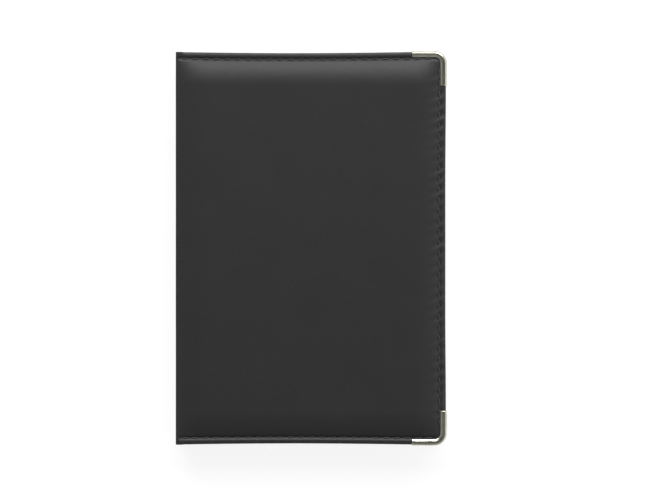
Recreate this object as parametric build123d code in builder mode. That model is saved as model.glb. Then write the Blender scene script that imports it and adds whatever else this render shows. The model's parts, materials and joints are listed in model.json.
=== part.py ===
"""Pocket notebook: a sewn block of leaves in a padded, stitched leather cover with metal corners.

The notebook lies closed on its back cover. The spine is at -X, the fore edge at +X, the head at +Y,
and Z is up. The origin is the centre of the overall box, on the surface that the notebook lies on.
The book is the same above and below its middle plane, so the front half is drawn and then mirrored.
All sizes are in millimetres.
"""

import math
import os

from build123d import *

# ---------------------------------------------------------------- driving dimensions

# Page block
page_width = 96.0  # bound edge to fore edge
page_height = 140.0  # head to tail
page_corner_radius = 5.0
leaf_thickness = 0.1
loose_leaves = 4  # single leaves each side of the middle opening
signatures = 3  # sewn gatherings in each half of the block
signature_thickness = 1.2
flyleaf_thickness = 0.15
bound_depth = 3.0  # strip along the spine where the folds are sewn and glued

# Cover
square = 5.95  # how far the cover stands out past the pages
cover_corner_radius = 4.5
leather_thickness = 0.8
board_thickness = 1.2
foam_thickness = 2.2
turn_in_thickness = 0.3  # leather pared thin where it folds over the board
turn_in_width = 9.0
pastedown_thickness = 0.2
pastedown_inset = 4.0  # bare turn-in left showing round the endpaper
edge_round = 0.7
shoulder_reach = 10.0  # width of the slope where the padding falls to the stitched margin
spine_shoulder_reach = 5.0

# Stitching
stitch_inset = 2.6
stitch_pitch = 4.1
stitch_length = 3.1
stitch_height = 0.45
thread_width = 0.55
groove_width = 0.8
groove_depth = 0.3
pad_gap = 0.4  # flat leather between the groove and the foot of the padding

# Spine
spine_card_thickness = 0.5
spine_cloth_thickness = 0.3
gauze_thickness = 0.3
gauze_inset = 6.0  # gauze stops short of head and tail
sewing_thread_diameter = 0.4
sewing_stitch_length = 22.0
sewing_stations = 3  # stitches along each signature's fold
sewing_spacing = 45.0
fold_valley = 0.5  # side of the square notch between one signature's fold and the next
band_radius = 0.8  # head band and tail band
band_sink = 0.4  # how much of a band's round is flattened against the leaves

# Metal corners
metal_thickness = 0.4
metal_clearance = 0.05
metal_leg = 13.6
metal_lip = 2.4  # outer face to the lip's inner edge
metal_inner_radius = 1.6

# Clearances between pieces that move apart
leaf_gap = 0.03
hinge_gap = 0.15
board_setback = 1.0  # board clear of the spine's lining
spine_hollow = 0.3
leaf_start = 0.6  # leaf's stiff part starts this far past its own hinge line
spine_end_gap = 0.2  # spine card and cloth clear of the cover's leather

# ---------------------------------------------------------------- levels and places

to_inside = (Align.MIN, Align.CENTER, Align.CENTER)

half_leaves = loose_leaves * (leaf_thickness + leaf_gap) + leaf_gap / 2
half_block = half_leaves + signatures * signature_thickness + flyleaf_thickness
inner_depth = board_thickness + turn_in_thickness + pastedown_thickness
cover_depth = foam_thickness + leather_thickness + inner_depth
middle = cover_depth + half_block
top = 2 * middle
middle_plane = Plane.XY.offset(middle)

# Front cover, from the padded face inwards
margin_top = top - foam_thickness
board_top = margin_top - leather_thickness
board_bottom = board_top - board_thickness
turn_in_bottom = board_bottom - turn_in_thickness
inside_face = turn_in_bottom - pastedown_thickness
signatures_top = inside_face - flyleaf_thickness
signatures_bottom = middle + half_leaves
margin_thickness = margin_top - turn_in_bottom

# Across the book, from the spine's outer face to the fore edge
metal_proud = metal_clearance + metal_thickness
spine_depth = leather_thickness + spine_card_thickness + spine_cloth_thickness
bound_offset = spine_depth + spine_hollow + gauze_thickness + sewing_thread_diameter
cover_width = bound_offset + page_width + square
cover_height = page_height + 2 * square
spine_face = -(cover_width + metal_proud) / 2
fore_edge = spine_face + cover_width
head_edge = cover_height / 2
bound_edge = spine_face + bound_offset
page_edge = bound_edge + page_width
page_head = page_height / 2

# Fold lines: each cover hinges where its leather turns into the spine
fold_x = spine_face + leather_thickness / 2
front_fold_z = margin_top - leather_thickness / 2
leather_start = spine_face + leather_thickness + hinge_gap
board_start = spine_face + spine_depth + board_setback
leaf_edge = bound_edge + bound_depth + hinge_gap + leaf_start

overshoot = 1.0  # how far a cut runs past the piece that it cuts


def shoulder_radius(reach):
    """Radius of an arc that starts level and falls by the foam's thickness over this reach."""
    return (reach**2 + foam_thickness**2) / (2 * foam_thickness)


def reach_under_skin(reach, skin):
    """Reach of the same arc, drawn one skin thickness further in."""
    radius = shoulder_radius(reach) - skin
    return math.sqrt(radius**2 - (radius - foam_thickness) ** 2)


def pad_section(plane, low, high, low_reach, high_reach, skin):
    """Section of the padding under a skin: flat on top, with an arc down to its foot at each end."""
    crest = top - skin
    foot = margin_top - skin
    flat_low = low + low_reach
    flat_high = high - high_reach
    foot_low = flat_low - reach_under_skin(low_reach, skin)
    foot_high = flat_high + reach_under_skin(high_reach, skin)
    with BuildSketch(plane) as section:
        with BuildLine():
            TangentArc((flat_low, crest), (foot_low, foot), tangent=(-1, 0))
            Line((foot_low, foot), (foot_high, foot))
            TangentArc((flat_high, crest), (foot_high, foot), tangent=(1, 0))
            Line((flat_low, crest), (flat_high, crest))
        make_face()
    return section.sketch


def padding(skin):
    """The crowned pad under a skin: its two sections, along and across, where they cross."""
    foot_inset = stitch_inset + groove_width / 2 + pad_gap
    fore_foot = fore_edge - foot_inset
    head_foot = head_edge - foot_inset
    across = pad_section(Plane.XZ, board_start, fore_foot, spine_shoulder_reach, shoulder_reach, skin)
    along = pad_section(Plane.YZ, -head_foot, head_foot, shoulder_reach, shoulder_reach, skin)
    with BuildPart() as pad:
        extrude(across, amount=head_edge, both=True)
        extrude(along, amount=fore_edge, both=True, mode=Mode.INTERSECT)
    return pad.part


def cover_plan(level, start, inset):
    """Outline of the cover at a level: square at the spine, rounded at the two outer corners."""
    width = fore_edge - inset - start
    with BuildSketch(Plane.XY.offset(level)) as plan:
        with Locations((start + width / 2, 0)):
            Rectangle(width, cover_height - 2 * inset)
        if cover_corner_radius > inset:
            fillet(plan.vertices().group_by(Axis.X)[-1], cover_corner_radius - inset)
    return plan.sketch


def page_plan(level):
    """Outline of a leaf's free part at a level, with its two rounded outer corners."""
    width = page_edge - leaf_edge
    with BuildSketch(Plane.XY.offset(level)) as plan:
        with Locations((leaf_edge + width / 2, 0)):
            Rectangle(width, page_height)
        fillet(plan.vertices().group_by(Axis.X)[-1], page_corner_radius)
    return plan.sketch


def outer_rims(plate):
    """Edges round a plate's upper and lower faces, all but the ones along the spine."""
    rims = plate.faces().filter_by(Axis.Z).edges()
    return rims - rims.group_by(Axis.X)[0]


front = {}  # the front half's pieces, by name
spine = {}  # the pieces that turn with the spine, by name

# ---------------------------------------------------------------- front cover

# Board: the stiff plate inside the cover
with BuildPart() as board:
    extrude(cover_plan(board_bottom, board_start, leather_thickness), amount=board_thickness)
front["board"] = board

# Foam: the crowned pad between the board and the leather
with BuildPart() as foam:
    add(padding(leather_thickness))
front["foam"] = foam

# Leather: one skin over the foam, round the board's edges and a little way inside
with BuildPart() as leather:
    extrude(cover_plan(turn_in_bottom, leather_start, 0), amount=margin_thickness)
    fillet(outer_rims(leather), edge_round)
    add(padding(0))
    add(foam.part, mode=Mode.SUBTRACT)
    board_space = cover_plan(board_bottom, leather_start, leather_thickness)
    extrude(board_space, amount=board_thickness, mode=Mode.SUBTRACT)
    window = cover_plan(turn_in_bottom, leather_start, turn_in_width)
    extrude(window, amount=turn_in_thickness, mode=Mode.SUBTRACT)
    with Locations((board_start, 0, board_top)):
        Box(
            board_start - leather_start + overshoot,
            cover_height + overshoot,
            board_top - turn_in_bottom + overshoot,
            align=(Align.MAX, Align.CENTER, Align.MAX),
            mode=Mode.SUBTRACT,
        )
    with BuildSketch(Plane.XY.offset(margin_top - groove_depth)):
        add(cover_plan(0, leather_start, stitch_inset - groove_width / 2))
        add(cover_plan(0, leather_start, stitch_inset + groove_width / 2), mode=Mode.SUBTRACT)
    extrude(amount=groove_depth, mode=Mode.SUBTRACT)
front["leather"] = leather

# Stitches: short lengths of thread lying in the groove along the head, the fore edge and the tail
stitch_level = margin_top - groove_depth + stitch_height / 2
stitch_line = head_edge - stitch_inset
fore_run = 2 * (head_edge - cover_corner_radius)
head_run = fore_edge - cover_corner_radius - leather_start
fore_count = math.floor(fore_run / stitch_pitch)
head_count = math.floor(head_run / stitch_pitch)

with BuildPart() as stitching:
    with Locations((fore_edge - stitch_inset, 0, stitch_level)):
        with GridLocations(1, stitch_pitch, 1, fore_count):
            Box(thread_width, stitch_length, stitch_height)
    with Locations((leather_start + head_run / 2, 0, stitch_level)):
        with GridLocations(stitch_pitch, 2 * stitch_line, head_count, 2):
            Box(stitch_length, thread_width, stitch_height)
front["stitching"] = stitching

# Metal corner: sheet folded into a channel that grips the cover's edge round its outer corner
metal_bottom = turn_in_bottom - metal_proud
metal_height = margin_thickness + 2 * metal_proud
metal_fore = fore_edge + metal_proud
metal_head = head_edge + metal_proud

with BuildPart() as corner_channel:
    channel_bottom = turn_in_bottom - metal_clearance
    channel_height = margin_thickness + 2 * metal_clearance
    extrude(cover_plan(channel_bottom, leather_start, -metal_clearance), amount=channel_height)
    fillet(outer_rims(corner_channel), edge_round + metal_clearance)

with BuildPart() as corner_head:
    extrude(cover_plan(metal_bottom, leather_start, -metal_proud), amount=metal_height)
    fillet(outer_rims(corner_head), edge_round + metal_proud)
    with BuildSketch(Plane.XY.offset(metal_bottom)):
        with Locations((metal_fore, metal_head)):
            Rectangle(metal_leg, metal_leg, align=(Align.MAX, Align.MAX))
    extrude(amount=metal_height, mode=Mode.INTERSECT)
    with BuildSketch(Plane.XY.offset(metal_bottom)) as lip_window:
        with Locations((metal_fore - metal_lip, metal_head - metal_lip)):
            Rectangle(metal_leg, metal_leg, align=(Align.MAX, Align.MAX))
        fillet(lip_window.vertices().group_by(Axis.X)[-1].sort_by(Axis.Y)[-1], metal_inner_radius)
    extrude(amount=metal_height, mode=Mode.SUBTRACT)
    add(corner_channel.part, mode=Mode.SUBTRACT)
front["corner_head"] = corner_head

with BuildPart() as corner_tail:
    mirror(corner_head.part, about=Plane.XZ)
front["corner_tail"] = corner_tail

# Pastedown: the endpaper glued inside, stepped down into the window that the turn-ins leave
with BuildPart() as pastedown:
    extrude(cover_plan(inside_face, board_start, pastedown_inset), amount=pastedown_thickness)
    extrude(cover_plan(turn_in_bottom, board_start, turn_in_width), amount=turn_in_thickness)
front["pastedown"] = pastedown

# ---------------------------------------------------------------- front half of the leaves

# Flyleaf: the free half of the endpaper
with BuildPart() as flyleaf:
    extrude(page_plan(signatures_top), amount=flyleaf_thickness)
front["flyleaf"] = flyleaf

# Signatures: gatherings of folded sheets, counted from the middle of the book outwards
for number in range(signatures):
    with BuildPart() as signature:
        level = signatures_bottom + number * signature_thickness
        extrude(page_plan(level), amount=signature_thickness)
    front[f"signature_{number + 1}"] = signature

# Single leaves: the ones that fan out at the middle opening, counted in the same way
for number in range(loose_leaves):
    with BuildPart() as leaf:
        level = middle + leaf_gap / 2 + number * (leaf_thickness + leaf_gap)
        extrude(page_plan(level), amount=leaf_thickness)
    front[f"leaf_{number + 1}"] = leaf

# ---------------------------------------------------------------- spine

# Leather: its long edges are round and centred on the fold lines
with BuildPart() as spine_leather:
    with BuildSketch(Plane.XZ):
        with Locations((fold_x, middle)):
            SlotCenterToCenter(2 * (front_fold_z - middle), leather_thickness, rotation=90)
    extrude(amount=cover_height / 2, both=True)
spine["leather"] = spine_leather

# Card that stiffens the spine, and the cloth that lines it
card_start = spine_face + leather_thickness
cloth_start = card_start + spine_card_thickness
card_length = cover_height - 2 * leather_thickness
card_height = 2 * (margin_top - leather_thickness - spine_end_gap - middle)

with BuildPart() as spine_card:
    with Locations((card_start, 0, middle)):
        Box(spine_card_thickness, card_length, card_height, align=to_inside)
spine["card"] = spine_card

with BuildPart() as spine_cloth:
    with Locations((cloth_start, 0, middle)):
        Box(spine_cloth_thickness, card_length, card_height, align=to_inside)
spine["cloth"] = spine_cloth

# Gauze glued over the sewn folds
gauze_start = cloth_start + spine_cloth_thickness + spine_hollow
bound_height = 2 * (signatures_top - middle)

with BuildPart() as gauze:
    with Locations((gauze_start, 0, middle)):
        Box(gauze_thickness, page_height - 2 * gauze_inset, bound_height - 2 * fold_valley, align=to_inside)
spine["gauze"] = gauze

# Bound edges: the folded edges of the signatures and of the single leaves, glued with valleys between
valley_levels = [signatures_bottom + number * signature_thickness for number in range(signatures + 1)]
valley_levels += [top - level for level in valley_levels]

with BuildPart() as bound_edges:
    with BuildSketch(Plane.XZ):
        with Locations((bound_edge, middle)):
            Rectangle(bound_depth, bound_height, align=(Align.MIN, Align.CENTER))
        with Locations([(bound_edge, level) for level in valley_levels]):
            Rectangle(fold_valley, fold_valley, rotation=45, mode=Mode.SUBTRACT)
    extrude(amount=page_head, both=True)
spine["bound_edges"] = bound_edges

# Sewing: the thread that runs along the back of each signature's fold
fold_levels = [signatures_bottom + (number + 0.5) * signature_thickness for number in range(signatures)]
fold_levels += [top - level for level in fold_levels]

with BuildPart() as sewing:
    for level in fold_levels:
        with Locations((bound_edge - sewing_thread_diameter / 2, 0, level)):
            with GridLocations(1, sewing_spacing, 1, sewing_stations):
                Cylinder(sewing_thread_diameter / 2, sewing_stitch_length, rotation=(90, 0, 0))
spine["sewing"] = sewing

# Bands: wrapped cords that finish the two ends of the bound edges
with BuildPart() as head_band:
    with BuildSketch(Plane.XY.offset(top - signatures_top)):
        with Locations((bound_edge + band_radius, page_head)):
            with Locations((0, band_radius - band_sink)):
                Circle(band_radius)
            Rectangle(
                2 * band_radius,
                2 * band_radius,
                align=(Align.CENTER, Align.MAX),
                mode=Mode.SUBTRACT,
            )
    extrude(amount=bound_height)
spine["head_band"] = head_band

with BuildPart() as tail_band:
    mirror(head_band.part, about=Plane.XZ)
spine["tail_band"] = tail_band

# ---------------------------------------------------------------- back half, labels and files

pieces = {f"spine_{name}": piece for name, piece in spine.items()}
for name, piece in front.items():
    with BuildPart() as twin:
        mirror(piece.part, about=middle_plane)
    pieces[f"front_{name}"] = piece
    pieces[f"back_{name}"] = twin

os.makedirs("parts", exist_ok=True)
for name, piece in pieces.items():
    piece.part.label = name
    export_step(piece.part, f"parts/{name}.step")
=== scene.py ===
# %% [markdown]
# # A padded pocket notebook
# A pocket notebook is a block of sewn leaves inside a cover of leather, foam and board. This lesson
# builds one round a finished CAD model. The CAD model says where every piece is and how it moves.
# Blender adds what CAD is poor at: soft leather, thread, bent metal and eighty thin leaves.

# %% Load the frame
import json
import math
import random

import bpy
import numpy as np
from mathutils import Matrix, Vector, noise


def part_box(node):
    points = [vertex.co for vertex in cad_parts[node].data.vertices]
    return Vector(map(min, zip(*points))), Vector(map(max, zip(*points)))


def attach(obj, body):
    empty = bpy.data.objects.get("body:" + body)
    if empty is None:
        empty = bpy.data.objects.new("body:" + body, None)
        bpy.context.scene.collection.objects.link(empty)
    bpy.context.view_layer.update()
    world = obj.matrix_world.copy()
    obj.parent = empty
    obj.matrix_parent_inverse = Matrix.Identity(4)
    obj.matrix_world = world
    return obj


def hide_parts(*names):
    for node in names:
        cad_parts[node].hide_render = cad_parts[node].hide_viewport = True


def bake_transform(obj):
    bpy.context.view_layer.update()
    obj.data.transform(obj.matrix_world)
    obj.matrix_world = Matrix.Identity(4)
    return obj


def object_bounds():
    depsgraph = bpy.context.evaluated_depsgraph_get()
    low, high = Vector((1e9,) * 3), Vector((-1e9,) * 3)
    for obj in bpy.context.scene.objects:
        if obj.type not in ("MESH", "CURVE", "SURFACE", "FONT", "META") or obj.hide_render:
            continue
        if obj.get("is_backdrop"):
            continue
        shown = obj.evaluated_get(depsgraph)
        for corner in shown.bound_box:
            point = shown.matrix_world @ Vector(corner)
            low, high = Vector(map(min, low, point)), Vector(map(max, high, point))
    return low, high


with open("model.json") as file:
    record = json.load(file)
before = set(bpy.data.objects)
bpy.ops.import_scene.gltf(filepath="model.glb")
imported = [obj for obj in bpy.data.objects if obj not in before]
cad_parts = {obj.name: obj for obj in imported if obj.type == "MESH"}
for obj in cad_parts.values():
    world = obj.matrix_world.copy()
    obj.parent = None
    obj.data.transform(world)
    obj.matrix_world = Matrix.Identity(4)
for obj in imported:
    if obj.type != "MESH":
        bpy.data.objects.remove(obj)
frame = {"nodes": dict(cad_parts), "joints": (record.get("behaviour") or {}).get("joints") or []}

cad_low, cad_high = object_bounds()
print("the notebook is", [round(1000 * side, 1) for side in cad_high - cad_low], "mm")

# %% [markdown]
# Sizes could be typed in again here, but then they could drift away from the CAD model. They are
# read from the boxes of its pieces and from its joints instead, so a changed model still fits.

# %% Read the sizes
MM = 0.001
joint_at = {joint["name"]: Vector(joint["pos_m"]) for joint in frame["joints"]}
fold_x, _, fold_z = joint_at["front_fold"]

leather_low, leather_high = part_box("front_leather")
spine_low, spine_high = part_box("spine_leather")
bound_low, bound_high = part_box("spine_bound_edges")
flyleaf_low, flyleaf_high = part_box("front_flyleaf")
pastedown_low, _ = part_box("front_pastedown")
board_low, board_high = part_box("front_board")
corner_low, corner_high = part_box("front_corner_head")

top = cad_high.z
middle = top / 2
fore_edge, head_edge = leather_high.x, leather_high.y
spine_face = spine_low.x
leather = spine_high.x - spine_low.x
margin_top = fold_z + leather / 2
margin_thickness = margin_top - leather_low.z
foam = top - margin_top
bound_edge, bound_end = bound_low.x, bound_high.x
page_edge, page_head = flyleaf_high.x, flyleaf_high.y
print("the cover ends at", round(fore_edge / MM, 2), "mm and the pages at", round(page_edge / MM, 2))

# %% [markdown]
# Most pieces here are strips or grids of points joined by four-sided faces. Numpy works out the
# points, and one helper turns them into an object. It keeps a flat map of each surface in metres,
# the UV map, so that leather grain and ruled lines have a real size and bend with the piece.

# %% Mesh helpers
def grid_faces(rows, columns):
    """Faces between points that run row by row."""
    index = np.arange(rows * columns).reshape(rows, columns)
    corners = index[:-1, :-1], index[1:, :-1], index[1:, 1:], index[:-1, 1:]
    return np.stack(corners, -1).reshape(-1, 4)


def make_piece(name, points, faces, material, uvs=None, crease_deg=50):
    """An object from points and faces, smooth except across edges sharper than crease_deg."""
    mesh = bpy.data.meshes.new(name)
    mesh.from_pydata(np.asarray(points, float).tolist(), [], [list(map(int, face)) for face in faces])
    mesh.materials.append(material)
    mesh.shade_smooth()
    mesh.set_sharp_from_angle(angle=math.radians(crease_deg))
    if uvs is not None:
        corner = np.zeros(len(mesh.loops), np.int32)
        mesh.loops.foreach_get("vertex_index", corner)
        flat_map = mesh.uv_layers.new(name="flat")
        flat_map.uv.foreach_set("vector", np.asarray(uvs, np.float32)[corner].ravel())
    piece = bpy.data.objects.new(name, mesh)
    bpy.context.scene.collection.objects.link(piece)
    return piece


def tube_faces(rings, sides):
    """Faces of a closed tube whose points run ring by ring, with a cap at each end."""
    index = np.arange(rings * sides).reshape(rings, sides)
    index = np.concatenate([index, index[:, :1]], 1)
    walls = np.stack([index[:-1, :-1], index[:-1, 1:], index[1:, 1:], index[1:, :-1]], -1)
    return walls.reshape(-1, 4).tolist() + [index[0, -2::-1].tolist(), index[-1, :-1].tolist()]


def slab(upper, lower, rows, columns):
    """A closed slab between two grids of points, the upper one facing outwards."""
    faces, index = grid_faces(rows, columns), np.arange(rows * columns).reshape(rows, columns)
    rim = np.concatenate([index[:, 0], index[-1, 1:], index[-2::-1, -1], index[0, -2::-1]])
    sides = np.stack([rim[:-1], rim[:-1] + index.size, rim[1:] + index.size, rim[1:]], -1)
    return np.concatenate([upper, lower]), np.concatenate([faces, faces[:, ::-1] + index.size, sides])


def joined(shapes):
    """Several shapes as one. Each is points and faces, and may have a flat map."""
    points, faces, *maps = zip(*shapes)
    starts = np.cumsum([0] + [len(made) for made in points])
    moved = [[int(i) + start for i in face] for sides, start in zip(faces, starts) for face in sides]
    return np.concatenate(points), moved, *[np.concatenate(flat) for flat in maps]


def turned_over(points, faces):
    """The same shape on the back half: mirrored in the middle plane, with its faces turned round."""
    flipped = np.array(points, float)
    flipped[:, 2] = top - flipped[:, 2]
    return flipped, [list(face)[::-1] for face in faces]


def both_ends(points, faces):
    """The end's name and the shape, for the head and then, mirrored, for the tail."""
    mirrored = points * [1, -1, 1], [list(face)[::-1] for face in faces]
    return ("head", (points, faces)), ("tail", mirrored)


def smooth_step(x, low, high):
    """0 below low, 1 above high, and an even curve between them."""
    t = np.clip((np.asarray(x, float) - low) / (high - low), 0, 1)
    return t * t * (3 - 2 * t)


# %% [markdown]
# Shader nodes are easier to read as sums than as a web of links. `Wire` wraps one output of a node,
# and its operators add Math nodes, so `1 - mask * 0.5` is written as it is thought. `Finish` makes a
# material, and its `node` method makes every other kind of node.

# %% Shader helpers
def operator(*start):
    """A method that adds a Math node: the operation, and any inputs before the other value."""
    return lambda wire, other: wire.math(*start, other)


class Wire:
    """One output of a shader node. Arithmetic on it adds Math nodes."""

    def __init__(self, tree, socket):
        self.tree, self.socket = tree, socket

    def math(self, operation, *others):
        """A Math node whose first input is this wire."""
        inputs = dict(enumerate((self, *others)))
        return self.tree.node("ShaderNodeMath", {"operation": operation}, inputs)

    __add__ = __radd__ = operator("ADD")
    __mul__ = __rmul__ = operator("MULTIPLY")
    __sub__ = operator("SUBTRACT")
    __rsub__ = operator("MULTIPLY_ADD", -1)
    __truediv__ = operator("DIVIDE")
    __gt__ = operator("GREATER_THAN")
    __lt__ = operator("LESS_THAN")


class NodeTree:
    """A node tree that is filled by calls."""

    def __init__(self, nodes, links):
        self.nodes, self.links = nodes, links

    def node(self, kind, settings=None, inputs=None, output=0):
        """A new node: its settings first, then the values or wires of its inputs."""
        made = self.nodes.new(kind)
        for name, value in (settings or {}).items():
            setattr(made, name, value)
        for name, value in (inputs or {}).items():
            if isinstance(value, Wire):
                self.links.new(value.socket, made.inputs[name])
            else:
                made.inputs[name].default_value = value
        return Wire(self, made.outputs[output])

    def parts(self, vector):
        """The x, y and z of a vector."""
        return [self.node("ShaderNodeSeparateXYZ", {}, {"Vector": vector}, axis) for axis in "XYZ"]

    def mix(self, share, first, second):
        """A colour between two others, each a wire or red, green and blue."""
        first, second = (c if isinstance(c, Wire) else (*c, 1) for c in (first, second))
        return self.node("ShaderNodeMix", {"data_type": "RGBA"}, {0: share, 6: first, 7: second}, 2)

    def band(self, value, low, high):
        """0 where the value is under low, 1 where it is over high, and a smooth slope between."""
        settings = {"interpolation_type": "SMOOTHSTEP"}
        inputs = {"Value": value, "From Min": low, "From Max": high}
        return self.node("ShaderNodeMapRange", settings, inputs)

    def grain(self, where, size, detail=2.0, stretch=(1, 1, 1)):
        """Soft noise with lumps of about this size, in metres."""
        scale = [s / size for s in stretch]
        mapped = self.node("ShaderNodeMapping", {}, {"Vector": where, "Scale": scale})
        return self.node("ShaderNodeTexNoise", {}, {"Vector": mapped, "Scale": 1.0, "Detail": detail})

    def cells(self, where, size):
        """How far each point is from the edge of its cell, for cells of about this size."""
        mapped = self.node("ShaderNodeMapping", {}, {"Vector": where, "Scale": [1 / size] * 3})
        settings = {"feature": "DISTANCE_TO_EDGE"}
        return self.node("ShaderNodeTexVoronoi", settings, {"Vector": mapped, "Scale": 1.0})


class Finish(NodeTree):
    """A material. Numbers given by name are set on its Principled shader's own sockets."""

    def __init__(self, name, color, **constants):
        self.material = bpy.data.materials.new(name)
        self.material.use_nodes = True
        tree = self.material.node_tree
        super().__init__(tree.nodes, tree.links)
        self.shader = tree.nodes["Principled BSDF"]
        self.shader.inputs["Base Color"].default_value = (*color, 1)
        for name, value in constants.items():
            self.shader.inputs[name.replace("_", " ")].default_value = value

    def place(self, output="UV"):
        """Where a point is: on the flat map, or in the object's own space for a rigid piece."""
        return self.node("ShaderNodeTexCoord", output=output)

    def feed(self, name, wire):
        """Links a wire to one of the shader's sockets."""
        self.links.new(wire.socket, self.shader.inputs[name])

    def tint(self, share, first, second):
        """Gives the surface a colour that varies between two others."""
        self.feed("Base Color", self.mix(share, first, second))

    def emboss(self, height, depth):
        """Raises the surface by a height from 0 to 1, times a depth in metres."""
        self.feed("Normal", self.node("ShaderNodeBump", {}, {"Height": height, "Distance": depth}))


# %% [markdown]
# ## Camera, floor and light
# The notebook is seen from straight above, a little off centre, as in a catalogue. A long lens keeps
# its sides out of sight. The light comes from the head of the book, low enough to miss the flat of
# the cover and catch the padded shoulder, which is what shows that the cover is soft.

# %% Camera
LENS_MM, SENSOR_MM = 85, 36
VIEW_WIDTH = 0.2511  # of the scene, at the level of the cover's edge
AIM = (0.00525, -0.00066)

camera_data = bpy.data.cameras.new("camera")
camera_data.lens, camera_data.sensor_width = LENS_MM, SENSOR_MM
camera = bpy.data.objects.new("camera", camera_data)
camera.location = (*AIM, margin_top + VIEW_WIDTH * LENS_MM / SENSOR_MM)
bpy.context.scene.collection.objects.link(camera)
bpy.context.scene.camera = camera
bpy.context.scene.view_settings.view_transform = "Standard"
print("the camera is", round(camera.location.z, 3), "m up")

# %% [markdown]
# The floor is one large sheet of pale paper. It also glows a little, so that it stays white at the
# edge of the picture without a second lamp, and the notebook still casts a faint shadow on it.

# %% Floor
FLOOR_SIDE = 6.0
FLOOR_DROP = 0.02 * MM  # keeps the floor's face from lying in the cover's own

glowing = {"Emission_Color": (1, 1, 1, 1), "Emission_Strength": 0.86}
floor_finish = Finish("floor_paper", (0.2, 0.2, 0.2), Roughness=0.9, Specular_IOR_Level=0, **glowing)
fibre = floor_finish.grain(floor_finish.place("Object"), 0.4 * MM)
floor_finish.tint(fibre, (0.18, 0.18, 0.18), (0.22, 0.22, 0.22))
half_floor = FLOOR_SIDE / 2
floor_ends = (-half_floor, half_floor)
floor_points = [(x, y, -FLOOR_DROP) for x in floor_ends for y in floor_ends]
floor = make_piece("floor", floor_points, [(0, 2, 3, 1)], floor_finish.material)
floor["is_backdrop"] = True

# %% [markdown]
# One lamp would do for a matt object. Leather and nickel are glossy, so what they reflect matters
# more than what falls on them. The walls of this studio are brighter at the head, the ceiling is
# dark, and one long soft lamp stands beyond the head of the book.

# %% Light
LAMP_PLACE, LAMP_WIDTH, LAMP_HEIGHT = (0.08, 1.6, 1.43), 2.5, 1.18
LAMP_BRIGHTNESS = 5.6


def soft_box(name, place, width, height, brightness):
    """A rectangular lamp that faces the notebook. Brightness is what a mirror would show of it."""
    data = bpy.data.lights.new(name, "AREA")
    data.shape, data.size, data.size_y = "RECTANGLE", width, height
    data.energy = brightness * math.pi * width * height
    lamp = bpy.data.objects.new(name, data)
    lamp.location = place
    lamp.rotation_euler = (-Vector(place)).to_track_quat("-Z", "Y").to_euler()
    lamp.visible_camera = False
    bpy.context.scene.collection.objects.link(lamp)
    return lamp


world = bpy.data.worlds.new("studio")
world.use_nodes = True
bpy.context.scene.world = world
sky = NodeTree(world.node_tree.nodes, world.node_tree.links)
direction = sky.node("ShaderNodeTexCoord", output="Generated")
across, along, upward = sky.parts(direction)
walls = (0.66 + 0.26 * across + 0.52 * along).math("MAXIMUM", 0.1)
ceiling = 0.14 - 0.25 * along
haze = 1 - sky.band(upward, 0.02, 0.16)  # the walls turn as white as the floor where they meet it
glow = walls + sky.band(upward, 0.5, 0.93) * (ceiling - walls) + haze * (1 - walls)
world.node_tree.links.new(glow.socket, world.node_tree.nodes["Background"].inputs["Strength"])
world.node_tree.nodes["Background"].inputs["Color"].default_value = (1, 1, 1, 1)

soft_box("head_box", LAMP_PLACE, LAMP_WIDTH, LAMP_HEIGHT, LAMP_BRIGHTNESS)

# %% [markdown]
# ## The leather
# Smooth calf leather, dyed black, has pores and fine creases that are smaller than a millimetre. At
# arm's length they only soften its shine. They could be modelled, but a bump is cheaper and just as
# good at this size: two sets of cells for the pebbled grain, and noise for the shine, which varies
# where hands have polished it.

# %% Leather finish
RIM = "rim"  # a value stored on each point of the skin: 1 on the cover's edge, 0 away from it


def leather_finish():
    finish = Finish("black_leather", (0.027, 0.027, 0.0275), Roughness=0.4, Specular_IOR_Level=0.28)
    where = finish.place()
    wander = finish.grain(where, 2.5 * MM, detail=3)
    creases = finish.band(finish.cells(where, 0.55 * MM), 0.0, 0.22)
    pebbles = finish.band(finish.cells(where, 0.3 * MM), 0.0, 0.3)
    pores = finish.grain(where, 0.12 * MM)
    finish.emboss(0.5 * creases * (0.6 + 0.4 * wander) + 0.3 * pebbles + 0.2 * pores, 0.018 * MM)
    handled = finish.grain(where, 18 * MM, detail=4)
    rim = finish.node("ShaderNodeAttribute", {"attribute_name": RIM}, output="Fac")
    rubbed = rim * finish.band(finish.grain(where, 3 * MM, detail=3), 0.4, 0.65)
    finish.feed("Roughness", 0.38 + 0.06 * handled + 0.05 * (1 - creases) - 0.1 * rubbed)
    tone = finish.mix(handled, (0.0255, 0.0255, 0.026), (0.0295, 0.0295, 0.03))
    # painted shade: the colour is darker along the crease lines, where the bump sinks them
    crease_shaded_tone = finish.mix(creases * 0.6 + 0.4, (0.019, 0.019, 0.0192), tone)
    finish.tint(0.5 * rubbed, crease_shaded_tone, (0.05, 0.05, 0.05))
    return finish.material


black_leather = leather_finish()

# %% [markdown]
# The cover's shape is one formula. Every point of it is known by how far it is from the head, the
# tail, the fore edge and the spine. Near each edge the foam falls away in an arc, and the product of
# the four arcs gives corners that are rounder than the edges, as stretched leather has. The edges
# are also pulled in a little between the corners.

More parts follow.
